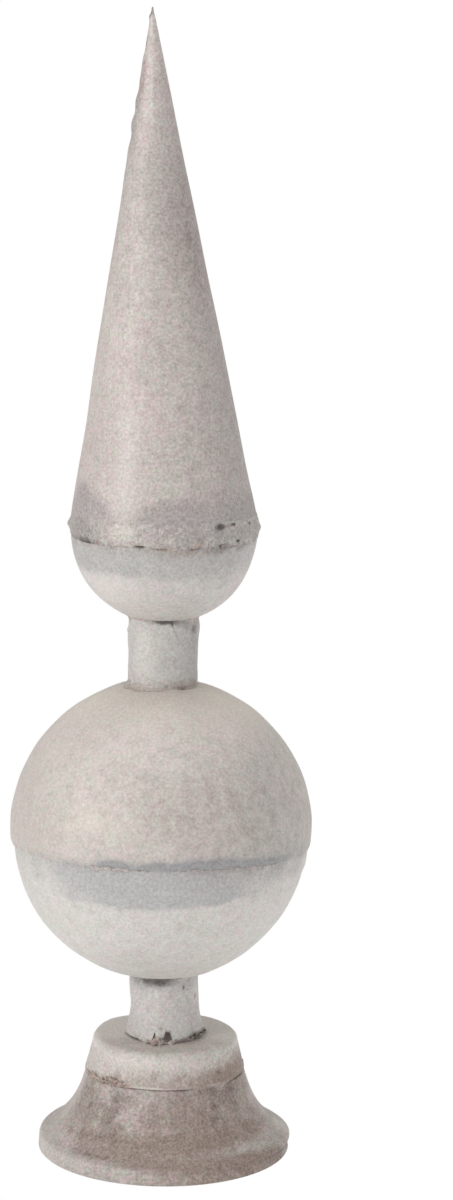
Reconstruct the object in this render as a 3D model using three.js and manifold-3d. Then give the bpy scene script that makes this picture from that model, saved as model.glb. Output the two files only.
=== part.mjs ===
// Roof finial of soldered zinc sheet: a cone on a bowl, a neck, a ball of two halves, a neck and a bell base.
// Millimetres, +Z up, front towards -Y. +Z runs up the axis of the ball and the bowl from the floor.
import * as THREE from "three";
import { mergeVertices } from "three/addons/utils/BufferGeometryUtils.js";
import Module from "manifold-3d";

const wasm = await Module();
wasm.setup();

// Sizes shared by every piece
const sheet = 1.0; // thickness of the zinc
const jointGap = 0.3; // clearance between two pieces that solder fills
const roundSides = 40; // flats around the ball, bowl, cone and base
const neckSides = 30; // flats around a neck
const halfBallRows = 8; // flats from rim to pole of half the ball
const bowlRows = 7; // flats from the bowl's lowest point to its widest circle

// Base: a bell skirt with a turned-in hem, under a pressed cap
const lipRadius = 84.4; // outside of the lip, at the floor
const lipHeight = 10.5; // upright band at the foot
const lipLean = 0.4; // how far the band leans in over its height
const lipRound = 3.0; // rounding between the band and the flare
const hemWidth = 7.0; // flat sheet turned in under the lip
const baseHeight = 77.6; // top of the cap above the floor
const capHeight = 23.6; // from the cap's lower edge to its top
const capTopRadius = 48.7; // outside, just under the shoulder
const capFootRadius = 53.0; // outside, at the cap's lower edge
const shoulderRadius = 5.1; // rounded upper edge of the cap
const collarHeight = 9.0; // part of the skirt that hides inside the cap

// Necks: tubes that lean a little, as the stack has settled
const neckRadius = 22.9; // outside of both tubes
const lowerNeckLength = 43.0; // from the cap to the hole in the ball
const upperNeckLength = 45.4; // from the hole in the ball to the hole in the bowl
const neckEntry = 2.0; // how far a tube goes inside a hole
const footSpread = 4.7; // how far the foot of the lower neck spreads on the cap
const footHeight = 21.0; // where the foot starts to spread
const tearRadius = 5.5; // half-round tear in the front of that foot
const tearOffset = -1.8; // middle of the tear, to the left of the neck's middle
const liftHalfWidth = 18.0; // half the width of the foot that stands clear of the cap, at the right
const liftHeight = 6.0; // how high it stands clear

// Ball: the upper half laps over the lower half
const ballRadius = 99.7; // outside of the upper half
const ballStep = 2.15; // how much smaller the lower half is
const seamDrop = 10.4; // rim of the upper half below its centre
const rimLap = 8.0; // overlap of the two halves
const rimRoll = 0.8; // how far the rim curls in
const lowerShift = 2.5; // centre of the lower half below that of the upper

// Bowl, cone and the solder bead between them
const bowlRadius = 60.9;
const bowlCollar = 4.0; // upright rim of the bowl above its widest circle
const coneLength = 330.0; // from the bowl's rim to the blunt tip
const coneOverhang = 0.8; // how far the foot of the cone stands out beyond the bowl
const tipRadius = 1.1;
const tipFill = 9.0; // solid solder inside the tip
const beadHeight = 12.4;
const beadProud = 1.3; // how far the bead stands out of the cone
const beadAbove = 5.4; // part of the bead above the bowl's rim

// How crooked the stack stands: places to the right of the ball's axis, and small tilts
const basePlaceX = 3.85;
const lowerNeckFootX = 4.5;
const lowerNeckTopX = 2.5;
const liftTurn = THREE.MathUtils.degToRad(58.0); // where the foot stands clear, from the front to the right
const ballTiltBack = THREE.MathUtils.degToRad(3.0);
const ballRoll = THREE.MathUtils.degToRad(0.5);
const spireTiltForward = THREE.MathUtils.degToRad(1.5);
const spireRoll = THREE.MathUtils.degToRad(0.5);
const coneSkew = 13.6; // how far the cone's tip is pulled to the left of its foot

const finish = (color, roughness) =>
  new THREE.MeshStandardMaterial({ color, roughness, metalness: 0.35 });
const paleZinc = finish(0xc4bdb6, 0.7);
const creamZinc = finish(0xc7c4bc, 0.72);
const greyZinc = finish(0xb8b6b0, 0.68);
const brownZinc = finish(0x9c8783, 0.8);
const solder = finish(0x9d978c, 0.6);

const point = (r, z) => new THREE.Vector2(r, z);

// Points of an arc about (r, z), from one angle to another, anticlockwise from the outward direction.
function arc(r, z, radius, from, to, steps) {
  const points = [];
  for (let i = 0; i <= steps; i += 1) {
    const angle = from + ((to - from) * i) / steps;
    points.push(point(r + radius * Math.cos(angle), z + radius * Math.sin(angle)));
  }
  return points;
}

// The inner face of a sheet whose outer face runs upwards through these points.
function innerFace(outer, thickness) {
  return outer.map((here, i) => {
    const before = outer[Math.max(i - 1, 0)];
    const after = outer[Math.min(i + 1, outer.length - 1)];
    const along = after.clone().sub(before).normalize();
    return point(here.x - along.y * thickness, here.y + along.x * thickness);
  });
}

// A ring section or a section that ends on the axis, turned about +Z. Outer faces run upwards.
function turned(profile, sides) {
  return new THREE.LatheGeometry(profile, sides).rotateX(Math.PI / 2);
}

const ring = (profile, sides) => turned([...profile, profile[0].clone()], sides);

function toSolid(geometry) {
  const bare = new THREE.BufferGeometry()
    .setAttribute("position", geometry.getAttribute("position"))
    .setIndex(geometry.index);
  const merged = mergeVertices(bare, 1e-3);
  const triVerts = new Uint32Array(merged.index.array);
  const vertProperties = merged.attributes.position.array;
  return new wasm.Manifold(new wasm.Mesh({ numProp: 3, vertProperties, triVerts }));
}

function cutFrom(geometry, ...cutters) {
  const whole = cutters.reduce((body, cutter) => body.subtract(toSolid(cutter)), toSolid(geometry));
  const mesh = whole.getMesh();
  return new THREE.BufferGeometry()
    .setAttribute("position", new THREE.BufferAttribute(mesh.vertProperties, 3))
    .setIndex(new THREE.BufferAttribute(mesh.triVerts, 1));
}

// An upright round cutter in the finial's frame, moved into the frame of the group that is cut.
function boreCutter(x, low, high, group) {
  group.updateWorldMatrix(true, false);
  return new THREE.CylinderGeometry(holeRadius, holeRadius, high - low, neckSides)
    .rotateX(Math.PI / 2)
    .translate(x, 0, (low + high) / 2)
    .applyMatrix4(group.matrixWorld.clone().invert());
}

function piece(name, geometry, material) {
  const mesh = new THREE.Mesh(geometry, material);
  mesh.name = name;
  return mesh;
}

// Heights and places that follow from the sizes above
const capHoleRadius = neckRadius - sheet; // level with the inside of the neck on it
const footRadius = neckRadius + footSpread;
const coneRadius = bowlRadius + coneOverhang;
const holeRadius = neckRadius + jointGap;
const holeRise = (radius) => Math.sqrt(radius ** 2 - holeRadius ** 2);
const lapHeight = baseHeight - capHeight;
const lowerNeckBottom = baseHeight + jointGap;
const lowerBallRadius = ballRadius - ballStep;
const lowerHoleHeight = lowerNeckBottom + lowerNeckLength;
const lowerBallZ = lowerHoleHeight + holeRise(lowerBallRadius);
const ballZ = lowerBallZ + lowerShift;
const upperHoleHeight = ballZ + holeRise(ballRadius);
const bowlHoleHeight = upperHoleHeight + upperNeckLength;
const bowlZ = bowlHoleHeight + holeRise(bowlRadius);

const finial = new THREE.Group();

// Bell skirt: hem, upright lip, rounded edge, flare, and a stepped-in collar that the cap covers.
function skirtOuterFace() {
  const lipTop = point(lipRadius - lipLean, lipHeight - lipRound);
  const flareStart = point(lipTop.x - lipRound, lipTop.y + lipRound * 1.25);
  const flareEnd = point(capFootRadius, lapHeight - sheet);
  const fall = flareStart.x - flareEnd.x;
  const rise = flareEnd.y - flareStart.y;
  const edge = new THREE.QuadraticBezierCurve(
    lipTop,
    point(lipTop.x - lipLean, lipTop.y + lipRound * 0.9),
    flareStart,
  );
  const flare = new THREE.CubicBezierCurve(
    flareStart,
    point(flareStart.x - 0.12 * fall, flareStart.y + 0.066 * rise),
    point(flareEnd.x + 0.347 * fall, flareEnd.y - 0.8 * rise),
    flareEnd,
  );
  return [point(lipRadius, 0), ...edge.getPoints(2), ...flare.getPoints(6).slice(1)];
}

const capOuterAt = (z) =>
  capFootRadius -
  ((capFootRadius - capTopRadius) * (z - lapHeight)) / (capHeight - shoulderRadius);

function skirtGeometry() {
  const outer = skirtOuterFace();
  const inner = innerFace(outer, sheet);
  inner[0] = point(lipRadius - sheet, sheet);
  const collarInset = sheet + 2 * jointGap;
  const collar = [lapHeight, lapHeight + collarHeight].map((z) =>
    point(capOuterAt(z) - collarInset, z),
  );
  const collarInner = collar.map((p) => point(p.x - sheet, p.y));
  return ring(
    [
      point(lipRadius - hemWidth, 0),
      ...outer,
      ...collar,
      ...collarInner.reverse(),
      ...inner.reverse(),
      point(lipRadius - hemWidth, sheet),
    ],
    roundSides,
  );
}

function capGeometry() {
  const shoulderZ = baseHeight - shoulderRadius;
  const shoulderR = capTopRadius - shoulderRadius;
  const footZ = lapHeight + jointGap;
  const outerShoulder = arc(shoulderR, shoulderZ, shoulderRadius, 0, Math.PI / 2, 3);
  const innerShoulder = arc(shoulderR, shoulderZ, shoulderRadius - sheet, Math.PI / 2, 0, 3);
  return ring(
    [
      point(capOuterAt(footZ) - sheet, footZ),
      point(capOuterAt(footZ), footZ),
      ...outerShoulder,
      point(capHoleRadius, baseHeight),
      point(capHoleRadius, baseHeight - sheet),
      ...innerShoulder,
    ],
    roundSides,
  );
}

const base = new THREE.Group();
base.position.x = basePlaceX;
base.add(piece("base_skirt", skirtGeometry(), brownZinc));
base.add(piece("base_cap", capGeometry(), greyZinc));
finial.add(base);

// Rings slide sideways with height, so that a piece leans and its two ends stay level.
function leaning(geometry, run, rise) {
  return geometry.applyMatrix4(new THREE.Matrix4().makeShear(0, 0, 0, 0, run / rise, 0));
}

function lowerNeckGeometry() {
  const top = lowerHoleHeight - lowerNeckBottom + neckEntry;
  const spread = new THREE.QuadraticBezierCurve(
    point(footRadius, 0),
    point(neckRadius + footSpread * 0.15, footHeight * 0.42),
    point(neckRadius, footHeight),
  ).getPoints(5);
  const outer = [...spread, point(neckRadius, top)];
  const inner = outer.map((p) => point(p.x - sheet, p.y));
  const tube = ring([...outer, ...inner.reverse()], neckSides);
  const tear = new THREE.CylinderGeometry(tearRadius, tearRadius, footRadius, 16)
    .scale(1, 1, 1.3)
    .translate(tearOffset, -footRadius, 0);
  const lift = new THREE.CylinderGeometry(liftHalfWidth, liftHalfWidth, footRadius, 20)
    .scale(1, 1, liftHeight / liftHalfWidth)
    .translate(0, -footRadius, 0)
    .rotateZ(liftTurn);
  return leaning(cutFrom(tube, tear, lift), lowerNeckTopX - lowerNeckFootX, top);
}

function upperNeckGeometry() {
  const length = upperNeckLength + 2 * neckEntry;
  const outer = [point(neckRadius, 0), point(neckRadius, length)];
  const inner = outer.map((p) => point(p.x - sheet, p.y));
  return ring([...outer, ...inner.reverse()], neckSides);
}

const lowerNeck = piece("lower_neck", lowerNeckGeometry(), greyZinc);
lowerNeck.position.set(lowerNeckFootX, 0, lowerNeckBottom);
const upperNeck = piece("upper_neck", upperNeckGeometry(), paleZinc);
upperNeck.position.z = upperHoleHeight - neckEntry;
finial.add(lowerNeck, upperNeck);

// Ball: two pressed halves, tilted together about the centre of the upper one.
const ball = new THREE.Group();
ball.position.z = ballZ;
ball.rotation.set(-ballTiltBack, ballRoll, 0);
finial.add(ball);

function ballUpperGeometry() {
  const low = -Math.asin(seamDrop / ballRadius);
  const outer = arc(0, 0, ballRadius, low, Math.PI / 2, halfBallRows);
  const inner = arc(0, 0, ballRadius - sheet, Math.PI / 2, low, halfBallRows);
  outer[0].x -= rimRoll;
  inner[inner.length - 1].set(outer[0].x - sheet, outer[0].y);
  outer[outer.length - 1].x = 0;
  inner[0].x = 0;
  const dome = turned([...inner, ...outer], roundSides);
  return cutFrom(dome, boreCutter(0, ballZ, ballZ + 2 * ballRadius, ball));
}

function ballLowerGeometry() {
  const high = Math.asin((rimLap - seamDrop + lowerShift) / lowerBallRadius);
  const outer = arc(0, -lowerShift, lowerBallRadius, -Math.PI / 2, high, halfBallRows);
  const inner = arc(0, -lowerShift, lowerBallRadius - sheet, high, -Math.PI / 2, halfBallRows);
  outer[0].x = 0;
  inner[inner.length - 1].x = 0;
  const dish = turned([...outer, ...inner], roundSides);
  return cutFrom(dish, boreCutter(lowerNeckTopX, ballZ - 2 * ballRadius, ballZ, ball));
}

ball.add(piece("ball_upper_half", ballUpperGeometry(), paleZinc));
ball.add(piece("ball_lower_half", ballLowerGeometry(), creamZinc));

// Spire: bowl, cone and solder bead, tilted together about the bowl's centre.
const spire = new THREE.Group();
spire.position.z = bowlZ;
spire.rotation.set(spireTiltForward, spireRoll, 0);
finial.add(spire);

const coneBottom = bowlCollar + jointGap;
const coneSlope = (coneRadius - tipRadius) / coneLength;
const coneOuterAt = (z) => coneRadius - coneSlope * (z - coneBottom);

function bowlGeometry() {
  const outer = arc(0, 0, bowlRadius, -Math.PI / 2, 0, bowlRows);
  const inner = arc(0, 0, bowlRadius - sheet, 0, -Math.PI / 2, bowlRows);
  outer[0].x = 0;
  inner[inner.length - 1].x = 0;
  const rim = [point(bowlRadius, bowlCollar), point(bowlRadius - sheet, bowlCollar)];
  const bowl = turned([...outer, ...rim, ...inner], roundSides);
  return cutFrom(bowl, boreCutter(0, bowlZ - 2 * bowlRadius, bowlZ, spire));
}

function coneGeometry() {
  const hollowTop = coneLength - tipFill;
  const profile = [
    point(0, hollowTop),
    point(coneRadius - coneSlope * hollowTop - sheet, hollowTop),
    point(coneRadius - sheet, 0),
    point(coneRadius, 0),
    point(tipRadius, coneLength),
    point(0, coneLength + tipRadius),
  ];
  return leaning(turned(profile, roundSides), -coneSkew, coneLength).translate(0, 0, coneBottom);
}

// The bead's back stands off the bowl and the cone, and its face bulges out of the cone's line.
function beadGeometry() {
  const high = bowlCollar + beadAbove;
  const low = high - beadHeight;
  const backAt = (z) => Math.max(bowlRadius, coneOuterAt(Math.max(z, bowlCollar))) + jointGap;
  const rimBack = coneRadius + jointGap;
  const face = rimBack + beadProud - jointGap;
  const edge = beadProud * 0.45;
  return ring(
    [
      point(backAt(low), low),
      point(rimBack + edge, low + beadHeight * 0.08),
      point(face, low + beadHeight * 0.32),
      point(face, low + beadHeight * 0.62),
      point(backAt(high) + edge, high),
      point(backAt(high), high),
      point(rimBack, coneBottom),
      point(rimBack, bowlCollar - beadProud),
    ],
    roundSides,
  );
}

spire.add(piece("bowl", bowlGeometry(), creamZinc));
spire.add(piece("spire_cone", coneGeometry(), paleZinc));
spire.add(piece("cone_joint_solder", beadGeometry(), solder));

export default finial;
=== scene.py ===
# %% [markdown]
# # A roof finial of soldered zinc sheet
# A finial closes the peak of a roof. This one is built up by a tinsmith from spun and rolled
# zinc: a bell base, a tube, a ball of two halves, a second tube, and a cone on a bowl. Lead-grey
# solder holds it together, and decades of weather have left chalk, stains and a few tears.
# The lesson builds every piece as a real sheet with two faces, then ages it with one finish.

# %% Load the frame
import math

import bmesh
import bpy
import numpy as np
from mathutils import Matrix, Vector


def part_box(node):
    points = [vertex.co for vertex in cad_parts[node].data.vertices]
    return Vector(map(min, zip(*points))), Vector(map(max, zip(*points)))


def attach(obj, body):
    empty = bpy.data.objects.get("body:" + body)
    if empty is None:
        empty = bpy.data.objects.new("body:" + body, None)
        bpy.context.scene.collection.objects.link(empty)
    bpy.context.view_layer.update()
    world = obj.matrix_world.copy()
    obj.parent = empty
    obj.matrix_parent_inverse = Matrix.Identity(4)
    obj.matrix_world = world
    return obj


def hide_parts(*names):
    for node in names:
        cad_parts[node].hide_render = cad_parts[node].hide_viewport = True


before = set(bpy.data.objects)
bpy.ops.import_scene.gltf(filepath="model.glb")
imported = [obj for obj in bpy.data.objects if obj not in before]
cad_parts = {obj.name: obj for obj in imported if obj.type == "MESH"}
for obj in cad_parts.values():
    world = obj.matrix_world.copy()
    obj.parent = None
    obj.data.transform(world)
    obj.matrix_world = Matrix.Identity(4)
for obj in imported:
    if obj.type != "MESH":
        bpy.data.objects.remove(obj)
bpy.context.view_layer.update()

# %% [markdown]
# ## Sizes
# The solids already hold the true sizes, so the lesson reads places from their boxes and adds
# only what a box can't tell: the gauge of the zinc, the small leans of the stack, and the radii
# of rounded edges. Lengths are in metres, and `mm` keeps the numbers readable.

# %% Sizes of the pieces
mm = 0.001
sheet = 1.0 * mm
solder_gap = 0.3 * mm
hole_radius = 23.2 * mm
neck_entry = 2.0 * mm


def half_width(node, axis):
    low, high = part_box(node)
    return (high[axis] - low[axis]) / 2


base_x = sum(corner.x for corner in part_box("base_skirt")) / 2
lip_radius = half_width("base_skirt", 0)
cap_foot_radius = half_width("base_cap", 0)
cap_foot_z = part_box("base_cap")[0].z
cap_top_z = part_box("base_cap")[1].z
neck_foot_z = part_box("lower_neck")[0].z
neck_foot_radius = half_width("lower_neck", 1)
ball_low_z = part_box("lower_neck")[1].z - neck_entry
ball_high_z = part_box("upper_neck")[0].z + neck_entry
bowl_low_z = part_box("upper_neck")[1].z - neck_entry
neck_radius = half_width("upper_neck", 1)

ball_radius = 99.7 * mm
lower_ball_radius = 97.55 * mm
bowl_radius = 60.9 * mm
cone_radius = 61.7 * mm


def rise_over_hole(radius):
    return math.sqrt(radius**2 - hole_radius**2)


lower_ball_z = ball_low_z + rise_over_hole(lower_ball_radius)
ball_z = ball_high_z - rise_over_hole(ball_radius)
bowl_z = bowl_low_z + rise_over_hole(bowl_radius)
print("ball centre", round(ball_z, 4), "bowl centre", round(bowl_z, 4), "base at x", round(base_x, 5))

# %% [markdown]
# ## Camera
# The photograph was taken from in front and a little above, with a long lens. A camera's axes
# can be set from three turns: to the right, downwards, and a small roll of the picture. Writing
# the matrix out keeps each turn visible, and no helper has to guess the picture's frame.

# %% Camera
picture_height = 1200
focal_pixels = 2820.0
camera_place = Vector((3.85 * mm, -1.830, 0.64534))
turn_right = 0.02045
look_down = math.radians(8.52)
roll = math.radians(0.773)

level_right = Vector((math.cos(turn_right), -math.sin(turn_right), 0))
ahead = Vector((math.sin(turn_right), math.cos(turn_right), 0)) * math.cos(look_down)
ahead.z = -math.sin(look_down)
level_up = level_right.cross(ahead)
right = level_right * math.cos(roll) + level_up * math.sin(roll)
up = level_up * math.cos(roll) - level_right * math.sin(roll)

camera_data = bpy.data.cameras.new("camera")
camera_data.lens = camera_data.sensor_width * focal_pixels / picture_height
camera = bpy.data.objects.new("camera", camera_data)
bpy.context.scene.collection.objects.link(camera)
camera.matrix_world = Matrix.Translation(camera_place) @ Matrix((right, up, -ahead)).transposed().to_4x4()
bpy.context.scene.camera = camera
print("lens", round(camera_data.lens, 1), "mm")

# %% [markdown]
# ## Studio
# The object stands on white in flat daylight that comes a little more from the left and from
# above. A white surround gives the even part of it, and two large soft lamps give the rest: one
# on the left for the slow fall of tone to the right, and one overhead for the pale shoulders of
# the round forms. The floor throws light up, and glows to the camera so that it fades into the
# background, as it does in a white studio.

# %% Studio
backdrop_white = (1.0, 1.0, 1.0, 1.0)
surround_strength = 0.585
left_lamp = {"place": (-1.9, -1.5, 1.3), "size": 1.3, "power": 20.0, "aim": (0, 0, 0.36)}
top_lamp = {"place": (0.1, -0.3, 2.4), "size": 1.8, "power": 18.5, "aim": (0, 0, 0.3)}
floor_radius = 6.0
floor_drop = 0.2 * mm
floor_corners = 64
floor_roughness = 0.9
floor_tone = 0.8
floor_glow = 0.31

scene = bpy.context.scene
scene.view_settings.view_transform = "Standard"


def camera_only(tree, seen, unseen, output):
    """Shows one shader to the camera and another to everything else."""
    path = tree.nodes.new("ShaderNodeLightPath")
    choose = tree.nodes.new("ShaderNodeMixShader")
    tree.links.new(path.outputs["Is Camera Ray"], choose.inputs[0])
    tree.links.new(unseen, choose.inputs[1])
    tree.links.new(seen, choose.inputs[2])
    tree.links.new(choose.outputs[0], output.inputs["Surface"])


def make_world():
    world = bpy.data.worlds.new("white_surround")
    world.use_nodes = True
    tree = world.node_tree
    background = tree.nodes["Background"]
    background.inputs["Color"].default_value = backdrop_white
    background.inputs["Strength"].default_value = surround_strength
    seen = tree.nodes.new("ShaderNodeBackground")
    seen.inputs["Color"].default_value = backdrop_white
    camera_only(tree, seen.outputs[0], background.outputs[0], tree.nodes["World Output"])
    scene.world = world


def make_lamp(name, place, size, power, aim):
    lamp = bpy.data.lights.new(name, "AREA")
    lamp.shape = "DISK"
    lamp.size = size
    lamp.energy = power
    lamp_object = bpy.data.objects.new(name, lamp)
    scene.collection.objects.link(lamp_object)
    lamp_object.location = place
    lamp_object.rotation_euler = (Vector(aim) - Vector(place)).to_track_quat("-Z", "Y").to_euler()


def make_floor():
    mesh = bpy.data.meshes.new("studio_floor")
    corners = [
        (floor_radius * math.cos(a), floor_radius * math.sin(a), -floor_drop)
        for a in np.linspace(0, 2 * math.pi, floor_corners, endpoint=False)
    ]
    mesh.from_pydata(corners, [], [tuple(range(floor_corners))])
    floor = bpy.data.objects.new("studio_floor", mesh)
    scene.collection.objects.link(floor)
    material = bpy.data.materials.new("pale_floor")
    material.use_nodes = True
    tree = material.node_tree
    shader = tree.nodes["Principled BSDF"]
    shader.inputs["Base Color"].default_value = (floor_tone, floor_tone, floor_tone, 1)
    shader.inputs["Roughness"].default_value = floor_roughness
    shader.inputs["Emission Color"].default_value = backdrop_white
    shader.inputs["Emission Strength"].default_value = floor_glow
    glow = tree.nodes.new("ShaderNodeEmission")
    glow.inputs["Color"].default_value = backdrop_white
    camera_only(tree, glow.outputs[0], shader.outputs[0], tree.nodes["Material Output"])
    mesh.materials.append(material)


make_world()
make_lamp("left_light", **left_lamp)
make_lamp("top_light", **top_lamp)
make_floor()
print("studio: surround", surround_strength, "lamps", left_lamp["power"], "W and", top_lamp["power"], "W")

# %% [markdown]
# ## Handwork in numbers
# Sheet that was spun, hammered and dropped is never a true circle. Sums of smooth waves that
# close on themselves round the piece give slow dents at any chosen length, with a seed each, so
# that they come out the same every time. The small functions after them mark a place on a piece
# by its angle, which is 0 at the front and positive to the right, and by its height.

# %% Waves and places
sides = 384
wave_count = 22
angle = np.linspace(-math.pi, math.pi, sides, endpoint=False)[None, :]


def waves(turn, height, radius, length, seed):
    """Smooth waves of about -2 to 2 that close on themselves round a piece of this radius."""
    draw = np.random.default_rng(seed)
    total = 0.0
    for _ in range(wave_count):
        heading = draw.uniform(0, 2 * math.pi)
        pace = 2 * math.pi / length * draw.uniform(0.6, 1.5)
        around = round(pace * radius * math.cos(heading))
        phase = draw.uniform(0, 2 * math.pi)
        total = total + np.cos(around * turn + pace * math.sin(heading) * height + phase)
    return total / math.sqrt(wave_count / 2)


def degrees(value):
    """An angle given in degrees, in the radians that the maths takes."""
    return np.radians(value)


def hump(distance, reach):
    """1 where the distance is 0, falling softly away on both sides."""
    return np.exp(-((distance / reach) ** 2))


def near(turn, at, reach):
    """1 at an angle of at degrees, falling away over reach degrees."""
    apart = (turn - degrees(at) + math.pi) % (2 * math.pi) - math.pi
    return hump(apart, degrees(reach))


def spot(turn, height, at, at_height, reach, tall):
    """1 at a place on a piece, falling away over reach degrees and over a height of tall."""
    return near(turn, at, reach) * hump(height - at_height, tall)


def climb(value, low, high):
    """0 up to low, 1 from high, and a soft step between."""
    t = np.clip((value - low) / (high - low), 0, 1)
    return t * t * (3 - 2 * t)


def sink(value, low, high):
    """1 up to low, 0 from high, and a soft step between."""
    return 1 - climb(value, low, high)


def band(value, low, high, soft):
    """1 between low and high, with soft edges."""
    return climb(value, low - soft, low + soft) * sink(value, high - soft, high + soft)


def stretch(turn, start, full, fade, end):
    """1 from full to fade degrees round a piece, and 0 before start and after end."""
    return climb(turn, degrees(start), degrees(full)) * sink(turn, degrees(fade), degrees(end))


def patches(turn, height, radius, size, seed):
    """Waves brought to about 0 to 1, for blotches of a given size."""
    return 0.5 + 0.5 * waves(turn, height, radius, size, seed)


print("dents of 30 mm:", np.round(waves(angle, 0, 0.1, 0.03, 1)[0, :4], 2))

# %% [markdown]
# ## Sections
# A spinner works to a template of the profile, and so does this lesson. Straight and bent runs
# are joined into one section, and its points are then spaced evenly, because rows of even height
# give square faces that shade well and take a dent smoothly.

# %% Sections
curve_steps = 24


def curve(*handles):
    """Points of a Bezier curve of two, three or four handles, each a (radius, height)."""
    t = np.linspace(0, 1, curve_steps + 1)[:, None]
    points = [np.array(h, float)[None, :] * np.ones_like(t) for h in handles]
    while len(points) > 1:
        points = [a * (1 - t) + b * t for a, b in zip(points, points[1:])]
    return points[0]


def arc(centre, radius, start, end, steps=12):
    """Points of a round bend, from start to end degrees about its centre."""
    a = np.radians(np.linspace(start, end, steps + 1))
    return np.stack([centre[0] + radius * np.cos(a), centre[1] + radius * np.sin(a)], axis=1)


def section(*runs, spacing):
    """Joins runs of points into one section with rows an even distance apart."""
    path = np.concatenate(runs)
    steps = np.hypot(*np.diff(path, axis=0).T)
    path = path[np.concatenate([[True], steps > 1e-7])]
    along = np.concatenate([[0], np.cumsum(np.hypot(*np.diff(path, axis=0).T))])
    wanted = np.linspace(0, along[-1], max(2, round(along[-1] / spacing)) + 1)
    return np.stack([np.interp(wanted, along, path[:, 0]), np.interp(wanted, along, path[:, 1])], axis=1)


def outward(path):
    """Unit vectors across a section that runs upwards, pointing out of the piece."""
    along = np.gradient(path, axis=0)
    along = along / np.linalg.norm(along, axis=1, keepdims=True)
    return np.stack([along[:, 1], -along[:, 0]], axis=1)


quarter_bend = section(arc((0, 0), 10 * mm, 0, 90), spacing=0.8 * mm)
print("a quarter bend of 10 mm takes", len(quarter_bend), "rows")

# %% [markdown]
# ## A sheet with two faces
# Every piece is a turned form, so its mesh is a grid: rows along the section, columns round the
# axis. The outer face runs up, the inner face runs down one gauge inside it, and the two rims
# join them. Building the grid by hand, instead of spinning a curve and adding a solidify, lets
# each vertex move for a dent or a tear and carry its own weathering marks.

# %% Grids and meshes
crisp_angle = 50
# Besides real stains, dirt and wear, the dark marks carry painted shade and the pale mark carries painted
# highlights.
mark_names = ("stain", "earth", "soot", "pale")


def turned(radius, height):
    """Points of a turned face from arrays of radius and height, rows by columns."""
    radius, height = np.broadcast_arrays(radius, height, angle * 0 + radius)[:2]
    return np.stack([radius * np.sin(angle), -radius * np.cos(angle), height], axis=-1)


def grid_faces(rows, columns, around=True):
    """Quads between neighbouring rows, with the last row joined to the first."""
    j = np.arange(columns if around else columns - 1)
    k = (j + 1) % columns
    strips = []
    for row in range(rows):
        a = row * columns
        b = (row + 1) % rows * columns
        strips.append(np.stack([a + j, a + k, b + k, b + j], axis=1))
    return np.concatenate(strips)


def make_object(name, points, faces, marks, material):
    """A smooth mesh object from points, a list of faces and the marks' values at each point."""
    mesh = bpy.data.meshes.new(name)
    mesh.from_pydata(points.reshape(-1, 3).tolist(), [], faces)
    for mark, values in marks.items():
        layer = mesh.attributes.new(mark, "FLOAT", "POINT")
        layer.data.foreach_set("value", np.ascontiguousarray(values, np.float32).ravel())
    mesh.validate()
    mesh.shade_smooth()
    mesh.set_sharp_from_angle(angle=degrees(crisp_angle))
    mesh.materials.append(material)
    made = bpy.data.objects.new(name, mesh)
    scene.collection.objects.link(made)
    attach(made, "root")
    print(name, len(mesh.vertices), "points", len(mesh.polygons), "faces")
    return made


def local_turn(points):
    """The angle of local points round their own axis."""
    return np.arctan2(points[..., 0], -points[..., 1])


def marks_at(points, weather):
    """The four weathering marks of local points, from a piece's weather function."""
    turn = local_turn(points)
    found = weather(turn, points[..., 2])
    return {name: np.clip(found.get(name, 0.0) + turn * 0, 0, 1) for name in mark_names}


def sheet_piece(name, outer, inner, weather, material, place):
    """A sheet whose outer and inner faces are given as grids of local points."""
    points = np.concatenate([outer, inner[::-1]])
    faces = grid_faces(len(points), sides)
    return make_object(name, place(points), faces.tolist(), marks_at(points, weather), material)


def upright(x, z=0.0):
    """Sets local points in their place without turning them."""
    shift = np.array([x, 0, z])

    def place(points):
        return points + shift

    return place


def leaning(lean_x, lean_y, z):
    """Tilts local points by degrees about the X axis, then the Y axis, and lifts them to z."""
    lean = Matrix.Rotation(degrees(lean_x), 3, "X") @ Matrix.Rotation(degrees(lean_y), 3, "Y")
    turn = np.array(lean)
    lift = np.array([0, 0, z])

    def place(points):
        return points @ turn.T + lift

    def back(points):
        return (points - lift) @ turn

    place.back = back
    return place


print("marks that a vertex carries:", ", ".join(mark_names))

# %% [markdown]
# ## Words for a finish
# A finish is a tree of shader nodes, and each node takes several calls to place and wire. A few
# short words for the nodes that every finish needs keep the recipe itself easy to read. Colours
# are given as they look on screen, because that is how they are judged beside the photograph.


# %% Colours and nodes
def tone(red, green, blue):
    """A colour given as it looks on screen, put through the screen's own curve for a shader."""
    linear = [((c / 255 + 0.055) / 1.055) ** 2.4 if c > 10 else c / 3295 for c in (red, green, blue)]
    return (*linear, 1.0)


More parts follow.
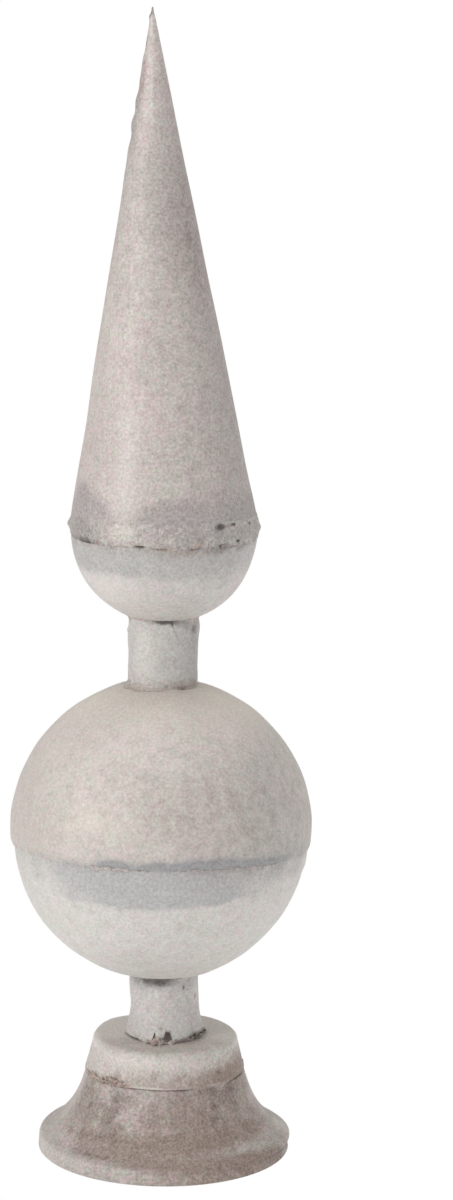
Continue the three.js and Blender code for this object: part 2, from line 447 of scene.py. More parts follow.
class Shader:
    """A few short words for wiring a node tree."""

    def __init__(self, material):
        material.use_nodes = True
        self.tree = material.node_tree
        self.surface = self.tree.nodes["Principled BSDF"]
        self.place = self.add("ShaderNodeTexCoord").outputs["Object"]

    def add(self, kind, **settings):
        """A new node of the tree."""
        made = self.tree.nodes.new(kind)
        for key, value in settings.items():
            setattr(made, key, value)
        return made

    def feed(self, socket, value):
        """Gives a socket a link from another node, or a plain value."""
        if isinstance(value, bpy.types.NodeSocket):
            self.tree.links.new(value, socket)
        else:
            socket.default_value = value

    def noise(self, size, detail=3.0, rough=0.55, scale=None, offset=0.0, output="Factor"):
        """Noise with clouds of a size in metres; an offset keeps two of them from lining up."""
        place = self.place
        if scale or offset:
            mapping = self.add("ShaderNodeMapping")
            self.feed(mapping.inputs["Vector"], self.place)
            mapping.inputs["Scale"].default_value = scale or (1, 1, 1)
            mapping.inputs["Location"].default_value = (offset, offset, offset)
            place = mapping.outputs["Vector"]
        made = self.add("ShaderNodeTexNoise")
        self.feed(made.inputs["Vector"], place)
        made.inputs["Scale"].default_value = 1 / size
        made.inputs["Detail"].default_value = detail
        made.inputs["Roughness"].default_value = rough
        return made.outputs[1 if output == "Color" else 0]

    def math(self, operation, a, b=0.0, c=0.0):
        """One sum of up to three numbers or sockets."""
        made = self.add("ShaderNodeMath", operation=operation)
        for socket, value in zip(made.inputs, (a, b, c)):
            self.feed(socket, value)
        return made.outputs[0]

    def span(self, value, low, high):
        """0 below low, 1 above high, with a soft step between."""
        made = self.add("ShaderNodeMapRange", interpolation_type="SMOOTHSTEP")
        self.feed(made.inputs["Value"], value)
        made.inputs["From Min"].default_value = low
        made.inputs["From Max"].default_value = high
        return made.outputs["Result"]

    def mix(self, amount, below, above, blend="MIX"):
        """One colour laid over another by an amount."""
        made = self.add("ShaderNodeMix", data_type="RGBA", blend_type=blend)
        self.feed(made.inputs[0], amount)
        colours = [socket for socket in made.inputs if socket.type == "RGBA"]
        self.feed(colours[0], below)
        self.feed(colours[1], above)
        return next(socket for socket in made.outputs if socket.type == "RGBA")

    def mark(self, name):
        """A weathering mark that the mesh carries."""
        made = self.add("ShaderNodeAttribute", attribute_type="GEOMETRY", attribute_name=name)
        return made.outputs["Fac"]

    def grey(self, value):
        """A number as a grey colour."""
        made = self.add("ShaderNodeCombineColor")
        for socket in made.inputs[:3]:
            self.feed(socket, value)
        return made.outputs[0]


print("a screen grey of 128 is", round(tone(128, 128, 128)[0], 3), "to a shader")

# %% [markdown]
# ## Weathered zinc
# Old zinc is a dull grey metal under a chalky crust. From a step away it reads as a pale warm
# grey with clouds and a fine speckle, and it keeps a trace of metal shine. One material function
# mixes two zinc tones in clouds and mottles, lets the hue drift a little between rosy and mossy,
# and lays four marks over that: blue-grey water stain, reddish earth, pale worn places and dark
# soot. The two dark marks also carry painted shade in creases, in gaps, under overhangs and on
# sides turned from the light. The pale mark also carries painted highlights and bright edges.
# A fine dust comes last. The marks come from the mesh, and noise breaks up their edges, so they
# sit where they belong and still look grown.

# %% One finish for every sheet
red_brown = tone(158, 134, 124)
black_brown = tone(92, 84, 80)
chalk_and_highlight = tone(218, 212, 205)
rust = tone(188, 154, 128)
rosy = (1.045, 0.962, 1.0, 1)
mossy = (0.965, 1.022, 0.968, 1)
cloud_size = 60 * mm
mottle_size = 7 * mm
grain_size = 1.6 * mm
hue_size = 4.5 * mm
hue_cloud_size = 42 * mm
run_width = 9 * mm
run_scale = (1, 1, 0.07)
mote_size = 2.1 * mm
dust_size = 1.8 * mm
metal_share = 0.15
bump_strength = 0.2
bump_depth = 0.5 * mm


def tint(colour, strength):
    """A colour near white, moved from white by its strength."""
    return tuple(1 + (c - 1) * strength for c in colour[:3]) + (1,)


def weathered_zinc(
    name, light, deep, stain, earth=red_brown, soot=black_brown, pale=chalk_and_highlight,
    streaks=0.0, crust=1.0, hues=1.0, roughness=0.6,
):
    """Old zinc in two tones, with four marks that noise breaks up at their edges."""
    material = bpy.data.materials.new(name)
    shader = Shader(material)
    cloud = shader.noise(cloud_size, detail=3)
    mottle = shader.noise(mottle_size, detail=5, rough=0.65)
    grain = shader.noise(grain_size, detail=2, rough=0.7)
    warm = shader.noise(hue_size, detail=2, rough=0.6, offset=7.3)
    warm_cloud = shader.noise(hue_cloud_size, detail=3, offset=13.1)
    run = shader.noise(run_width, detail=4, scale=run_scale, offset=3.1)

    blend = shader.math("MULTIPLY_ADD", mottle, 0.5, shader.math("MULTIPLY", cloud, 0.5))
    colour = shader.mix(shader.span(blend, 0.36, 0.64), light, deep)
    run_amount = shader.math("MULTIPLY", shader.span(run, 0.5, 0.72), streaks)
    colour = shader.mix(run_amount, colour, stain)
    hue = shader.math("MULTIPLY_ADD", warm, 0.75, shader.math("MULTIPLY", warm_cloud, 0.25))
    hue = shader.mix(shader.span(hue, 0.4, 0.6), tint(mossy, hues), tint(rosy, hues))
    colour = shader.mix(1.0, colour, hue, blend="MULTIPLY")

    def laid(mark, under, over, ragged, fine=0.25, strength=1.0):
        """Lays one mark's colour over what is there, with an edge that the noise makes ragged."""
        rough_edge = shader.math("MULTIPLY_ADD", mottle, ragged, shader.math("MULTIPLY", grain, fine))
        off_centre = shader.math("SUBTRACT", rough_edge, (ragged + fine) / 2)
        amount = shader.span(shader.math("ADD", shader.mark(mark), off_centre), 0.08, 0.98)
        return shader.mix(shader.math("MULTIPLY", amount, strength), under, over)

    colour = laid("stain", colour, stain, 0.5, strength=0.9)
    colour = laid("earth", colour, earth, 0.8, fine=0.5)
    colour = laid("pale", colour, pale, 0.5)
    colour = laid("soot", colour, soot, 0.7)
    motes = shader.noise(mote_size, detail=2, rough=0.8, offset=23.7, output="Color")
    dust = shader.noise(dust_size, detail=2, rough=0.8, offset=31.3)
    colour = shader.mix(0.17 * crust, colour, motes, blend="SOFT_LIGHT")
    colour = shader.mix(0.45 * crust, colour, shader.grey(shader.span(dust, 0.2, 0.8)), blend="SOFT_LIGHT")
    shader.feed(shader.surface.inputs["Base Color"], colour)

    shader.surface.inputs["Metallic"].default_value = metal_share
    dull = shader.math("MULTIPLY_ADD", mottle, 0.2, roughness - 0.1)
    shader.feed(shader.surface.inputs["Roughness"], dull)
    bump = shader.add("ShaderNodeBump")
    bump.inputs["Strength"].default_value = bump_strength
    bump.inputs["Distance"].default_value = bump_depth
    height = shader.math("MULTIPLY_ADD", mottle, 0.6, shader.math("MULTIPLY", grain, 0.5))
    shader.feed(bump.inputs["Height"], height)
    shader.feed(shader.surface.inputs["Normal"], bump.outputs["Normal"])
    return material


print("noise from", round(grain_size / mm, 1), "to", round(cloud_size / mm, 1), "mm")

# %% [markdown]
# ## A finish for each sheet
# The sheets came from different runs of metal, and rain reaches each of them differently, so
# each has its own two tones and its own stain. The ball's upper half has the creamiest chalk,
# because rain dries on it. The cap and the skirt lie lowest, so of all the sheets they are the
# brownest and carry the most crust. Solder holds lead, so it is duller, and iron's rust marks it.

# %% The finishes
cone_zinc = weathered_zinc(
    "cone_zinc", tone(202, 193, 188), tone(192, 183, 178), tone(164, 157, 155), streaks=0.2
)
bowl_zinc = weathered_zinc(
    "bowl_zinc", tone(207, 202, 199), tone(200, 195, 192), tone(172, 171, 168), crust=0.8, hues=0.7
)
neck_zinc = weathered_zinc(
    "neck_zinc", tone(205, 201, 198), tone(194, 190, 187), tone(178, 175, 173),
    streaks=0.2, crust=0.9, hues=0.8,
)
ball_top_zinc = weathered_zinc(
    "ball_top_zinc", tone(203, 195, 189), tone(193, 186, 179), tone(148, 148, 150),
    pale=tone(218, 211, 199), crust=0.75, hues=0.75,
)
ball_low_zinc = weathered_zinc(
    "ball_low_zinc", tone(209, 205, 201), tone(202, 199, 194), tone(175, 174, 173), crust=0.8, hues=0.7
)
cap_zinc = weathered_zinc(
    "cap_zinc", tone(205, 199, 193), tone(192, 185, 180), tone(176, 172, 168),
    earth=tone(152, 136, 126), crust=1.05, hues=1.1,
)
skirt_zinc = weathered_zinc(
    "skirt_zinc", tone(193, 186, 181), tone(176, 168, 162), tone(166, 160, 156),
    earth=tone(147, 131, 122), soot=tone(100, 82, 76), crust=1.15, hues=2.1,
)
lead_solder = weathered_zinc(
    "lead_solder", tone(200, 193, 187), tone(186, 178, 173), tone(163, 157, 155),
    earth=rust, soot=tone(72, 64, 60), crust=1.3, hues=1.3, roughness=0.64,
)
print("materials in the scene:", len(bpy.data.materials))

# %% [markdown]
# ## Base skirt
# The lowest piece is a spun bell. Its foot is a rounded lip with a hem turned in below, and its
# upper end is a collar that hides inside the cap. The section runs from the hem, round the lip
# and up the flare to the collar, so that the outer face is one unbroken sweep.

# %% Skirt section
lip_lean = 0.4 * mm
lip_band = 7.5 * mm
lip_round = 3.0 * mm
lip_edge = 0.9 * mm
hem_width = 7.0 * mm
flare_foot = (lip_radius - lip_lean - lip_round, 11.25 * mm)
flare_head = (cap_foot_radius, cap_foot_z - 1.3 * mm)
collar_radius = cap_foot_radius - sheet - 2 * solder_gap
collar_taper = 1.8 * mm
collar_height = 9.0 * mm


def skirt_section():
    fall = flare_foot[0] - flare_head[0]
    lift = flare_head[1] - flare_foot[1]
    lip_top = (lip_radius - lip_lean, lip_band)
    collar_foot = (collar_radius, flare_head[1] + sheet)
    collar_head = (collar_radius - collar_taper, flare_head[1] + collar_height)
    return section(
        curve((lip_radius - hem_width, 0), (lip_radius - lip_edge, 0)),
        arc((lip_radius - lip_edge, lip_edge), lip_edge, -90, 0, steps=4),
        curve((lip_radius, lip_edge), lip_top),
        curve(lip_top, (lip_radius - 2 * lip_lean, lip_band + 0.9 * lip_round), flare_foot),
        curve(
            flare_foot,
            (flare_foot[0] - 0.12 * fall, flare_foot[1] + 0.066 * lift),
            (flare_head[0] + 0.347 * fall, flare_head[1] - 0.8 * lift),
            flare_head,
        ),
        curve(collar_foot, collar_head),
        spacing=0.8 * mm,
    )


skirt_path = skirt_section()
print("skirt section:", len(skirt_path), "rows,", round(skirt_path[-1, 1] / mm, 1), "mm high")

# %% [markdown]
# ## Dents and the bent lip
# The lip was bent: at the left it is a smooth roll under a crease, and towards the right the
# crease runs down over it, so that the flare overhangs a dark groove. The crease is pressed in
# along a height that changes with the angle. A push across the section moves both faces of the
# sheet together, so the metal keeps its gauge wherever it is dented.

# %% Skirt dents
crease_high = 13.0 * mm
crease_drop = 8.6 * mm
crease_lowest_at = 100
crease_depth = 0.9 * mm
crease_reach = 1.8 * mm
overhang_step = 0.9 * mm


def crease_height(turn):
    """The crease is level at the left and drops towards the right."""
    return crease_high - crease_drop * ((1 + np.cos(turn - degrees(crease_lowest_at))) / 2) ** 2.2


def skirt_push(turn, path):
    """How far the skirt's face stands out of its true section."""
    height = path[:, 1:2]
    below = crease_height(turn) - height
    right_side = near(turn, 78, 48)
    groove = -crease_depth * hump(below, crease_reach) * (0.55 + 0.6 * right_side)
    overhang = overhang_step * right_side * band(below, -5 * mm, -0.4 * mm, 1.0 * mm)
    recess = -overhang_step * right_side * climb(below, 0, 2 * mm)
    bent = (groove + overhang + recess) * sink(height, 16 * mm, 24 * mm) * (height > 0.3 * mm)
    dents = 0.35 * mm * waves(turn, height, lip_radius, 75 * mm, 11) * climb(height, 0.5 * mm, 4 * mm)
    return np.where(height > flare_head[1], 0, bent + dents)


def pressed(path, thickness, push):
    """Outer and inner grids of a turned sheet, pushed across its section by push(turn, path).

    The inner face is hardly seen, so it keeps only every third row and the last.
    """
    across = outward(path)
    amount = push(angle, path)
    outer = turned(path[:, 0:1] + across[:, 0:1] * amount, path[:, 1:2] + across[:, 1:2] * amount)
    depth = amount - thickness
    inner = turned(path[:, 0:1] + across[:, 0:1] * depth, path[:, 1:2] + across[:, 1:2] * depth)
    return outer, inner[::3] if len(inner) % 3 == 1 else np.concatenate([inner[:-1:3], inner[-1:]])


print("deepest dent of the skirt:", round(skirt_push(angle, skirt_path).min() / mm, 1), "mm")

# %% [markdown]
# ## Dirt, painted shade and painted highlights on the skirt
# The skirt catches what washes off the rest. Earth lies reddish in the flare and along the
# crease, most of it at the front and the right, and dark runs come down from the cap's edge. The
# crease groove and the lip band at the right front are darkened with painted shade. The lip at
# the left, the flare's edge over the groove at the right and the flare at both sides are lightened
# with painted highlights. Each of these is a smooth mark with a place of its own, and the finish
# roughens its edge.

# %% Skirt weather
# For each run of soot: its angle, its reach in degrees, its foot and head in mm, its strength.
skirt_runs = (
    (-34, 8, 20, 56, 0.46),
    (-66, 7, 24, 50, 0.2),
    (36, 7, 30, 70, 0.3),
    (53, 7, 40, 75, 0.36),
    (128, 9, 30, 60, 0.2),
    (210, 8, 24, 60, 0.24),
)


def streaks_down(turn):
    """Runs of dirt, from 0 to 1, that keep their place down the whole height."""
    return 0.55 + 0.3 * np.clip(waves(turn, 0, 60 * mm, 13 * mm, 14), -1, 1)


def skirt_weather(turn, height):
    below = crease_height(turn) - height
    lip = sink(height, 9 * mm, 16 * mm)
    flare = climb(height, 14 * mm, 22 * mm)
    cloud = patches(turn, height, lip_radius, 24 * mm, 12)
    runs = streaks_down(turn)
    right_front = stretch(turn, -16, 24, 58, 86)
    left_run = near(turn, -60, 20) * band(height, 16 * mm, 58 * mm, 8 * mm)
    creased = hump(below + 1.5 * mm, 3.4 * mm) * stretch(turn, -66, -40, 44, 66)
    flare_earth = 0.3 + 0.1 * cloud + 0.24 * right_front
    flare_earth = flare_earth + 0.2 * near(turn, -8, 36) * sink(height, 36 * mm, 54 * mm)
    lip_earth = 0.14 + 0.28 * stretch(turn, -34, -4, 50, 76) + 0.32 * right_front
    flare_soot = 0.24 * right_front * runs
    for at, reach, low, high, amount in skirt_runs:
        flare_soot = flare_soot + amount * near(turn, at, reach) * band(height, low * mm, high * mm, 7 * mm)
    return {
        "earth": flare * flare_earth
        + lip * lip_earth
        + 0.2 * left_run
        + 0.5 * near(turn, 6, 54) * band(height, 13 * mm, 26 * mm, 5 * mm)
        + 0.5 * creased
        + 0.16 * near(turn, 82, 26) * climb(below, 0, 3 * mm),
        "stain": 0.35 + 0.15 * cloud + 0.25 * near(turn, -60, 30) * lip,
        "soot": flare * flare_soot
        # Painted shade on the lip band at the right front; then dirt runs; then painted shade in the crease
        # groove at the right and at the left.
        + 0.22 * lip * right_front
        + 0.3 * left_run * runs
        + 0.65 * near(turn, 78, 20) * hump(below, 2.4 * mm)
        + 0.4 * near(turn, -36, 20) * hump(below, 1.8 * mm),
        # Painted highlights: the rounded lip at the left, the flare's edge over the groove at the right,
        # and the flare's edges at both sides.
        "pale": 0.45 * lip * near(turn, -72, 40)
        + 0.55 * near(turn, 92, 12) * band(below, -12 * mm, -1 * mm, 2 * mm)
        + flare * (0.42 * near(turn, -86, 20) + 0.34 * near(turn, 88, 14)),
    }


base_skirt = sheet_piece(
    "bell_skirt", *pressed(skirt_path, sheet, skirt_push), skirt_weather, skirt_zinc, upright(base_x)
)
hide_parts("base_skirt")

# %% [markdown]
# ## Base cap
# A pressed cap sits on the skirt's upper end. It could be one with the skirt, but its lower edge
# shows as a thin bright line, and at the left old solder has crumbled along it. The cap is a
# turned section again, and the crumbled solder is its own lumpy strip, made further down.

# %% Cap
cap_wall_radius = 48.7 * mm
shoulder_radius = 4.2 * mm
cap_hole_radius = 21.9 * mm


def cap_push(turn, path):
    """How far the cap's face stands out of its true section."""
    height = path[:, 1:2]
    wall = path[:, 0:1] > cap_wall_radius - shoulder_radius
    lip = 0.25 * mm * near(turn, -8, 30) * hump(height - cap_foot_z - 0.8 * mm, 0.9 * mm)
    crumple = 0.9 * mm * spot(turn, height, -58, cap_foot_z + 4 * mm, 14, 4 * mm)
    dents = 0.22 * mm * waves(turn, height, cap_wall_radius, 45 * mm, 21)
    return dents + np.where(wall, lip - crumple, 0)


def cap_weather(turn, height):
    from_edge = height - cap_foot_z
    on_top = climb(height, cap_top_z - 1.2 * mm, cap_top_z - 0.2 * mm)
    wall = 1 - on_top
    side = climb(np.abs(turn), degrees(45), degrees(80))
    low_earth = 0.55 + 0.3 * near(turn, 60, 40) - 0.3 * near(turn, -64, 24)
    wall_earth = low_earth * sink(from_edge, 2 * mm, 20 * mm)
    wall_earth = wall_earth + 0.25 * near(turn, 70, 30) - 0.3 * near(turn, -84, 14)
    left_run = near(turn, -74, 9) * sink(from_edge, 4 * mm, 11 * mm)
    right_run = near(turn, 50, 12) * sink(from_edge, 8 * mm, 21 * mm)
    return {
        "earth": wall * wall_earth + 0.2 * on_top * (1 - side),
        "stain": 0.2 * on_top * (1 - side) + 0.3 * wall * near(turn, -30, 46),
        "soot": wall * streaks_down(turn) * (0.16 * left_run + 0.36 * right_run),
        # The first three terms are painted highlights: the band on the shoulder, the bright line along the
        # lower edge, and the edges at both sides near the top. The last is a pale spot in the crumple.
        "pale": 0.55 * near(turn, -28, 50) * band(from_edge, 12 * mm, 19 * mm, 3 * mm)
        + 0.7 * near(turn, -10, 20) * band(from_edge, 0, 1.2 * mm, 0.5 * mm)
        + 0.75 * side * climb(height, cap_top_z - 8 * mm, cap_top_z - 3 * mm)
        + 0.5 * spot(turn, height, -58, cap_foot_z + 5 * mm, 10, 1.8 * mm),
    }


shoulder_centre = (cap_wall_radius - shoulder_radius, cap_top_z - shoulder_radius)
cap_path = section(
    curve((cap_foot_radius, cap_foot_z), (cap_wall_radius, shoulder_centre[1])),
    arc(shoulder_centre, shoulder_radius, 0, 90),
    curve((shoulder_centre[0], cap_top_z), (cap_hole_radius, cap_top_z)),
    spacing=0.9 * mm,
)
base_cap = sheet_piece(
    "bell_cap", *pressed(cap_path, sheet, cap_push), cap_weather, cap_zinc, upright(base_x)
)
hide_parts("base_cap")

# %% [markdown]
# ## Lower neck
# The lower tube spreads into a foot on the cap. Its foot was soldered down and has torn off: a
# notch at the front with a tab of sheet curling out of it, and an edge lifted clear at the right.
# Cutting these with booleans would leave ragged triangles, so the lower edge of the grid itself
# follows a height that changes with the angle.

# %% Lower neck
neck_length = ball_low_z + neck_entry - neck_foot_z
foot_height = 21.0 * mm
foot_curve = curve(
    (neck_foot_radius, 0),
    (neck_radius + 0.15 * (neck_foot_radius - neck_radius), 0.42 * foot_height),
    (neck_radius, foot_height),
)
foot_rows = 58
neck_foot_x = 4.5 * mm
neck_top_x = 2.5 * mm
notch_height = 7.4 * mm
lifted_edge = 3.9 * mm
tab_middle = -8.5
tab_reach = 7.0
tab_foot = 3.3 * mm


def torn_edge(turn):
    """Height of the foot's lower edge above the cap."""
    lifted = lifted_edge * stretch(turn, 9, 50, 72, 100)
    thin_gap = 0.9 * mm * band(turn, degrees(-78), degrees(-38), degrees(6))
    notch = notch_height * stretch(turn, -22, -16, 6, 11)
    from_tab = np.abs(turn - degrees(tab_middle))
    beside_tab = climb(from_tab, degrees(tab_reach) * 0.75, degrees(tab_reach) * 1.2)
    in_tab = from_tab < degrees(tab_reach) * 1.2
    notch = np.where(in_tab, tab_foot + (notch - tab_foot) * beside_tab, notch)
    ragged = 0.35 * mm * waves(turn, 0, neck_radius, 6 * mm, 31)
    clear = np.maximum(np.maximum(lifted, notch), thin_gap)
    return clear + ragged * climb(clear, 0.2 * mm, 2 * mm)


def lower_neck_face(inset):
    """One face of the tube, its rows closer together near the torn edge."""
    share = np.linspace(0, 1, foot_rows)[:, None] ** 1.35
    edge = torn_edge(angle)
    height = edge + (neck_length - edge) * share
    radius = np.interp(height, foot_curve[:, 1], foot_curve[:, 0]) - inset
    radius = radius + 1.5 * mm * near(angle, tab_middle, 5.5) * sink(height, 3 * mm, 10 * mm)
    radius = radius + 0.9 * mm * near(angle, 55, 24) * sink(height, 5 * mm, 11 * mm)
    radius = radius + 0.18 * mm * waves(angle, height, neck_radius, 26 * mm, 32)
    radius = radius - 0.5 * mm * spot(angle, height, 31.5, 35.7 * mm, 5, 3 * mm)
    radius = radius - 0.5 * mm * spot(angle, height, 62.6, 27.8 * mm, 6, 2.5 * mm)
    points = turned(radius, height)
    points[..., 0] = points[..., 0] + (neck_top_x - neck_foot_x) * height / neck_length
    return points


def lower_neck_weather(turn, height):
    top = height - (neck_length - neck_entry)
    above_edge = height - torn_edge(turn)
    scratches = spot(turn, height, 31.5, 35.7 * mm, 3, 2.2 * mm)
    scratches = scratches + spot(turn, height, 62.6, 27.8 * mm, 4, 2 * mm)
    right_edge = band(turn, degrees(14), degrees(86), degrees(8))
    return {
        # Both dark marks darken the top of the tube under the ball: dirt with painted shade.
        "stain": 0.2 + 0.5 * climb(top, -14 * mm, -4 * mm) * (1 - 0.6 * near(turn, 70, 30)),
        "soot": 0.85 * climb(top, -10 * mm, -2 * mm) * (0.2 + 0.8 * near(turn, -20, 34))
        + 0.7 * scratches
        # The next two terms are painted shade in the gap under the lifted edge and in the notch.
        + 0.6 * right_edge * sink(above_edge, 0.6 * mm, 3 * mm)
        + 0.5 * near(turn, 0, 16) * sink(above_edge, 0.3 * mm, 2 * mm),
        "earth": 0.45 * sink(above_edge, 0, 3 * mm)
        + 0.5 * near(turn, tab_middle, 5) * band(height, 8 * mm, 12 * mm, 1 * mm),
        # Painted highlights: a thin upright line at the front left and the bright right edge.
        "pale": 0.5 * near(turn, -16, 6) * band(height, 12 * mm, 40 * mm, 6 * mm)
        + 0.4 * near(turn, 82, 22),
    }


lower_neck = sheet_piece(
    "lower_tube",
    lower_neck_face(0),
    lower_neck_face(sheet)[::2],
    lower_neck_weather,
    neck_zinc,
    upright(neck_foot_x, neck_foot_z),
)
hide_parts("lower_neck")

# %% [markdown]
# ## Ball
# The ball is two spun halves. The upper one laps over the lower like a lid, so its rim casts the
# line of the seam, and both lean back together. The holes for the tubes stay upright while the
# rims tilt, so each column of the grid runs along a great circle from its point on the rim to its
# point on the hole. That fits both ends, which a plain turned form could not do.

# %% Ball, upper half
ball_tilt_back = -3.0
ball_roll = 0.5
ball_rows = 112
seam_drop = 10.4 * mm
seam_height = -seam_drop
rim_roll = 0.8 * mm
on_ball = leaning(ball_tilt_back, ball_roll, ball_z)


def great_circles(low, high, rows):
    """Unit directions from the low ring to the high ring, row by row."""
    low = low / np.linalg.norm(low, axis=-1, keepdims=True)
    high = high / np.linalg.norm(high, axis=-1, keepdims=True)
    between = np.arccos(np.clip((low * high).sum(-1, keepdims=True), -1, 1))
    share = np.linspace(0, 1, rows)[:, None, None]
    return (np.sin((1 - share) * between) * low + np.sin(share * between) * high) / np.sin(between)


def level_ring(radius, height):
    """One row of a turned face."""
    return turned(np.array([[radius]]), np.array([[height]]))[0]


def hole_ring(x, z, place):
    """The upright hole for a tube, as local points of a tilted piece."""
    return place.back(level_ring(hole_radius, z) + np.array([x, 0, 0]))


seam_ring = level_ring(math.sqrt(ball_radius**2 - seam_drop**2), seam_height)
upper_rays = great_circles(seam_ring, hole_ring(0, ball_high_z, on_ball), ball_rows)


def upper_half_face(inset):
    turn, height = local_turn(upper_rays), ball_radius * upper_rays[..., 2]
    above_rim = height - seam_height
    push = 0.38 * mm * waves(turn, height, ball_radius, 95 * mm, 41)
    push = push + 0.10 * mm * waves(turn, height, ball_radius, 30 * mm, 42)
    push = push - rim_roll * hump(above_rim, 1.8 * mm)
    push = push - 0.5 * mm * near(turn, 92, 7) * hump(above_rim, 3 * mm)
    push = push * climb(1 - upper_rays[..., 2], 0.025, 0.05)
    return upper_rays * (ball_radius + push - inset)[..., None]


# For each smear by the seam: its angle, its height in mm, its reach in degrees, its half height
# in mm and its strength.
seam_smears = (
    (-21, -7.0, 7, 4.2, 0.3),
    (-13, -8.5, 4, 3.4, 0.2),
    (12, -7.0, 5, 4.6, 0.75),
    (24, -7.6, 9, 4.2, 0.6),
    (0, -7.4, 5, 4.0, 0.3),
    (38, -8.0, 10, 4.0, 0.24),
    (150, -6.0, 16, 4.2, 0.5),
    (215, -6.0, 10, 4.2, 0.5),
)


def upper_half_weather(turn, height):
    above_rim = height - seam_height
    patch = patches(turn, height, ball_radius, 34 * mm, 43)
    seam_stain = 0.28 + 0.2 * near(turn, -19, 13) + 0.2 * near(turn, 30, 26) + 0.25 * near(turn, 0, 16)
    seam_stain = (seam_stain + 0.25 * patch) * (1 - 0.5 * near(turn, 60, 18))
    smears = sum(
        amount * spot(turn, height, at, z * mm, reach, tall * mm)
        for at, z, reach, tall, amount in seam_smears
    )
    # Painted light: the top of the upper half is lighter, more so towards both sides.
    painted_crown_light = 0.42 + 0.25 * climb(np.abs(turn), degrees(30), degrees(75))
    return {
        "stain": seam_stain * sink(above_rim, 1 * mm, 7 * mm)
        + smears * (0.8 + 0.4 * patch)
        # Painted shade: the right side is darker, fading out towards the top.
        + 0.35 * near(turn, 58, 42) * sink(height, 50 * mm, 90 * mm)
        + 0.24 * near(turn, 2, 54) * sink(height, 62 * mm, 92 * mm),
        "soot": 0.16 * smears * patch + 0.2 * spot(turn, height, 22, -2 * mm, 2, 2.4 * mm),
        "earth": 0.08
        + 0.2 * near(turn, 8, 46) * band(height, 0, 50 * mm, 24 * mm)
        + 0.5 * near(turn, 40, 30) * climb(height, 94 * mm, 97 * mm),
        "pale": 0.5 * near(turn, -24, 20) * band(height, 6 * mm, 24 * mm, 14 * mm) * (0.2 + 0.8 * patch)
        + painted_crown_light * climb(height, 54 * mm, 92 * mm),
    }


upper_half = sheet_piece(
    "ball_upper",
    upper_half_face(0),
    upper_half_face(sheet)[::3],
    upper_half_weather,
    ball_top_zinc,
    on_ball,
)
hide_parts("ball_upper_half")

# %% [markdown]
# ## The ball's lower half
# The lower half is slightly smaller, so that its top slides up inside the upper half's rim. Grey
# water stain hangs below the rim and ends in an uneven edge, lowest at the front. The edge is
# looked up by angle, because it is one particular line and not a pattern.

# %% Ball, lower half
rim_lap = 8.0 * mm
lower_shift = ball_z - lower_ball_z
lower_centre = np.array([0, 0, -lower_shift])
lap_height = rim_lap - seam_drop + lower_shift
lap_ring = level_ring(math.sqrt(lower_ball_radius**2 - lap_height**2), lap_height)
lower_hole = hole_ring(neck_top_x, ball_low_z, on_ball) - lower_centre
lower_rays = great_circles(lower_hole, lap_ring, ball_rows)
# The stain's edge: angles in degrees, and the height in mm at each of them.
stain_angles = (-180, -60, -38, -16, 19, 38, 60, 180)
stain_heights = (-33, -27, -35.5, -36.6, -35.4, -30, -24, -33)


def lower_half_face(inset):
    turn, height = local_turn(lower_rays), lower_ball_radius * lower_rays[..., 2] - lower_shift
    push = 0.38 * mm * waves(turn, height, ball_radius, 90 * mm, 51)
    push = push + 0.10 * mm * waves(turn, height, ball_radius, 28 * mm, 52)
    push = push + 1.1 * mm * near(turn, 88, 22) * band(height, -24 * mm, -11.5 * mm, 4 * mm)
    push = push * climb(1 + lower_rays[..., 2], 0.025, 0.05) * sink(height, -11 * mm, -8 * mm)
    return lower_rays * (lower_ball_radius + push - inset)[..., None] + lower_centre


def lower_half_weather(turn, height):
    edge = np.interp(np.degrees(turn), stain_angles, stain_heights) * mm
    edge = edge + 0.45 * mm * waves(turn, 0, ball_radius, 40 * mm, 53)
    below_rim = seam_height - height
    from_front = np.abs(turn)
    soft = 2.6 * mm + 7 * mm * climb(from_front, degrees(38), degrees(70))
    patch = patches(turn, height, ball_radius, 26 * mm, 54)
    hanging = 0.2 + 0.16 * patch + 0.42 * near(turn, 0, 46)
    hanging = hanging + 0.5 * climb(from_front, degrees(100), degrees(130))
    # Just under the upper half's rim: painted shade, with a little dirt in the seam.
    rim_dirt_and_shade = 0.01 + 0.06 * near(turn, 28, 20) + 0.04 * near(turn, -20, 12)
    return {
        "stain": hanging * climb(height, edge - soft, edge + soft)
        + 0.2 * near(turn, 14, 44) * sink(below_rim, 6 * mm, 16 * mm)
        + 0.28 * near(turn, -4, 52),
        "soot": rim_dirt_and_shade * sink(below_rim, 0.5 * mm, 3.0 * mm),
        "earth": 0.10 + 0.22 * near(turn, 30, 22) * sink(below_rim, 4 * mm, 16 * mm),
        # Painted highlight on the bulge of the lower half at the right.
        "pale": 0.6 * near(turn, 86, 20) * band(height, -20 * mm, -12 * mm, 3 * mm),
    }


lower_half = sheet_piece(
    "ball_lower",
    lower_half_face(0),
    lower_half_face(sheet)[::3],
    lower_half_weather,
    ball_low_zinc,
    on_ball,
)
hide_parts("ball_lower_half")

# %% [markdown]
# ## Upper neck
# The upper tube is straight. A lap runs slanting down its right side and has opened into a dark
# line, and two blobs of solder sit near its top. The lap's angle is looked up by height, and the
# sheet steps out a little on one side of it.

# %% Upper neck
upper_neck_length = bowl_low_z - ball_high_z + 2 * neck_entry
# The lap's course: heights in mm, and the angle in degrees at each of them.
lap_heights = (22, 26, 35, 45, 48)
lap_angles = (52, 46, 24, 14, 12)
lap_step = 0.35 * mm
upper_neck_rows = 44


def from_lap(turn, height):
    """Distance round the tube from the lap, positive to the right of it."""
    at = degrees(np.interp(height / mm, lap_heights, lap_angles))
    return (turn - at) * neck_radius


